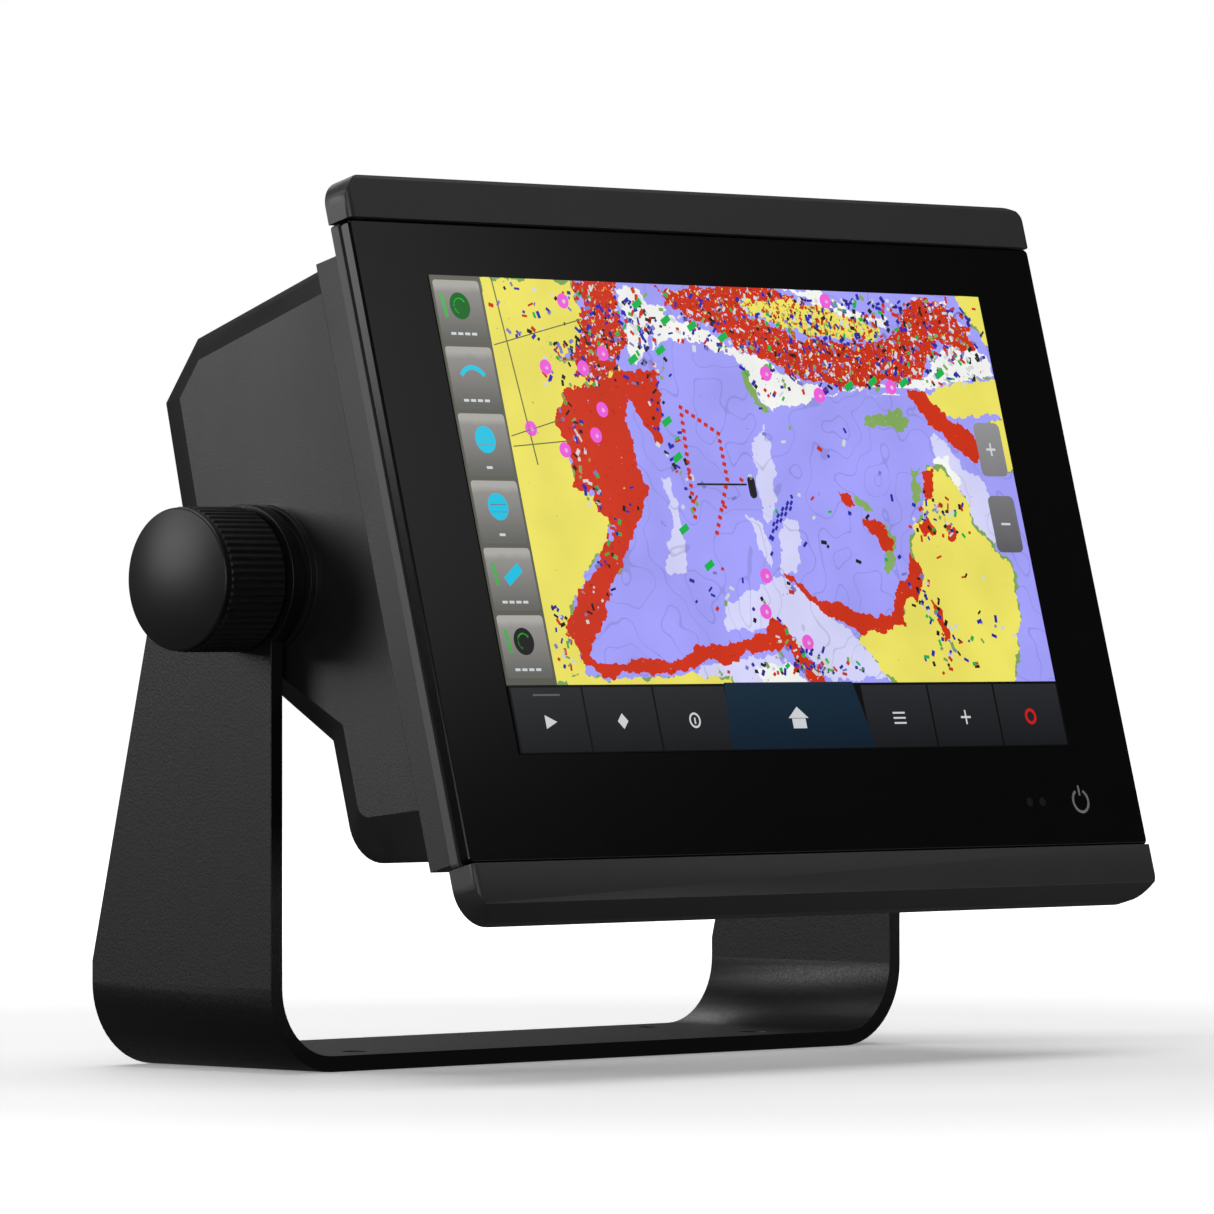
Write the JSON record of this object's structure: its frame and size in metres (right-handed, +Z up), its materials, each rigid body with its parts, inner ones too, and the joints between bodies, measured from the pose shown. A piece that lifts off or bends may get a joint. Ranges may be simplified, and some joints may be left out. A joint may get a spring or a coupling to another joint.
{
  "type": "chartplotter display",
  "caption": "Touch-screen chartplotter display leaning back on a tilting bail bracket, with a clamping knob on each side and round sockets behind.",
  "frame": {"origin": "centre of the bracket's four base screw holes, on the underside of the base", "axes": "+X to the viewer's right along the tilt axis, the screen faces -Y, +Z up; the display leans back 15 degrees at rest"},
  "size_m": [0.2112, 0.1109, 0.1661],
  "materials": {
    "bracket_coating": "satin black powder coat",
    "cover_glass": "polished, black printed border",
    "sensor_glass": "clear",
    "seal_rubber": "matte",
    "bezel_plastic": "fine grain",
    "cap_plastic": "fine grain",
    "housing_plastic": "fine grain",
    "panel_glass": "dark panel glass",
    "clear_acrylic": "clear",
    "white_film": "white film",
    "tray_metal": "pressed sheet",
    "chassis_metal": "milled sheet",
    "ribbon_film": "amber film",
    "circuit_board": "solder mask",
    "chip_plastic": "moulded",
    "cell_steel": "polished",
    "buzzer_plastic": "moulded",
    "transformer_core": "ferrite",
    "capacitor_can": "sleeved",
    "sink_metal": "extruded",
    "standoff_brass": "plain",
    "screw_steel": "stainless",
    "antenna_ceramic": "ceramic",
    "socket_plastic": "moulded",
    "contact_brass": "gold plated",
    "nut_metal": "nickel plated",
    "reader_steel": "pressed sheet",
    "card_plastic": "moulded",
    "vent_film": "porous film",
    "knob_plastic": "fine grain",
    "grip_rubber": "soft",
    "insert_brass": "turned",
    "pad_rubber": "matte",
    "washer_plastic": "smooth"
  },
  "bodies": {
    "bracket": {"bail_bracket": "bracket_coating"},
    "display": {"backlight_strip": "white_film", "backlight_tray": "tray_metal", "bezel_frame": "bezel_plastic", "board_link": "chip_plastic", "board_screws": "screw_steel", "board_standoffs": "standoff_brass", "bottom_trim_cap": "cap_plastic", "buzzer": "buzzer_plastic", "capacitors": "capacitor_can", "card_door_pin": "screw_steel", "card_reader": "reader_steel", "chassis_plate": "chassis_metal", "clock_cell": "cell_steel", "cover_glass": "cover_glass", "diffuser_sheet": "white_film", "display_ribbon": "ribbon_film", "ethernet_socket": "socket_plastic", "friction_pads": "pad_rubber", "glass_gasket": "seal_rubber", "heat_sink": "sink_metal", "heat_spreader": "chassis_metal", "housing_screws": "screw_steel", "housing_seal": "seal_rubber", "lcd_panel": "panel_glass", "light_guide": "clear_acrylic", "light_sensor": "chip_plastic", "main_board": "circuit_board", "main_board_chips": "chip_plastic", "pivot_inserts": "insert_brass", "position_antenna": "antenna_ceramic", "power_socket": "socket_plastic", "rear_housing": "housing_plastic", "reflector_sheet": "white_film", "sensor_bus_socket": "socket_plastic", "socket_board": "circuit_board", "socket_nuts": "nut_metal", "socket_pins": "contact_brass", "socket_seals": "seal_rubber", "sonar_board": "circuit_board", "sonar_socket": "socket_plastic", "sonar_transformer": "transformer_core", "top_trim_cap": "cap_plastic", "touch_key_board": "circuit_board", "touch_sensor": "sensor_glass", "vent_cap": "housing_plastic", "vent_membrane": "vent_film", "video_socket": "socket_plastic"},
    "card_door": {"card_door": "housing_plastic", "card_door_seal": "seal_rubber"},
    "memory_card": {"memory_card": "card_plastic"},
    "left_knob_washer": {"left_knob_washer": "washer_plastic"},
    "left_knob": {"left_knob": "knob_plastic", "left_knob_grip": "grip_rubber", "left_knob_stud": "screw_steel"},
    "right_knob_washer": {"right_knob_washer": "washer_plastic"},
    "right_knob": {"right_knob": "knob_plastic", "right_knob_grip": "grip_rubber", "right_knob_stud": "screw_steel"}
  },
  "joints": [
    {"name": "display_tilt", "type": "hinge", "parent": "bracket", "child": "display", "pos_m": [0, -0.0165, 0.092], "axis": [-1, 0, 0], "range_deg": [-30, 45]},
    {"name": "left_knob_travel", "type": "slide", "parent": "display", "child": "left_knob_washer", "axis": [-1, 0, 0], "range_m": [0, 0.002]},
    {"name": "left_knob_spin", "type": "hinge", "parent": "left_knob_washer", "child": "left_knob", "pos_m": [-0.096, -0.0165, 0.092], "axis": [-1, 0, 0], "range_deg": [0, 721]},
    {"name": "right_knob_travel", "type": "slide", "parent": "display", "child": "right_knob_washer", "axis": [1, 0, 0], "range_m": [0, 0.002]},
    {"name": "right_knob_spin", "type": "hinge", "parent": "right_knob_washer", "child": "right_knob", "pos_m": [0.096, -0.0165, 0.092], "axis": [1, 0, 0], "range_deg": [0, 721]},
    {"name": "card_door_hinge", "type": "hinge", "parent": "display", "child": "card_door", "pos_m": [0.0636, 0.00822, 0.10815], "axis": [0, -0.2588, -0.9659], "range_deg": [0, 100]},
    {"name": "memory_card_push", "type": "slide", "parent": "display", "child": "memory_card", "axis": [0, -0.9659, 0.2588], "range_m": [0, 0.0012], "stiffness_N_per_m": 500}
  ],
  "couplings": [
    {"joint": "left_knob_spin", "follows": "left_knob_travel", "rad_per_m": 6283.2},
    {"joint": "right_knob_spin", "follows": "right_knob_travel", "rad_per_m": 6283.2}
  ]
}
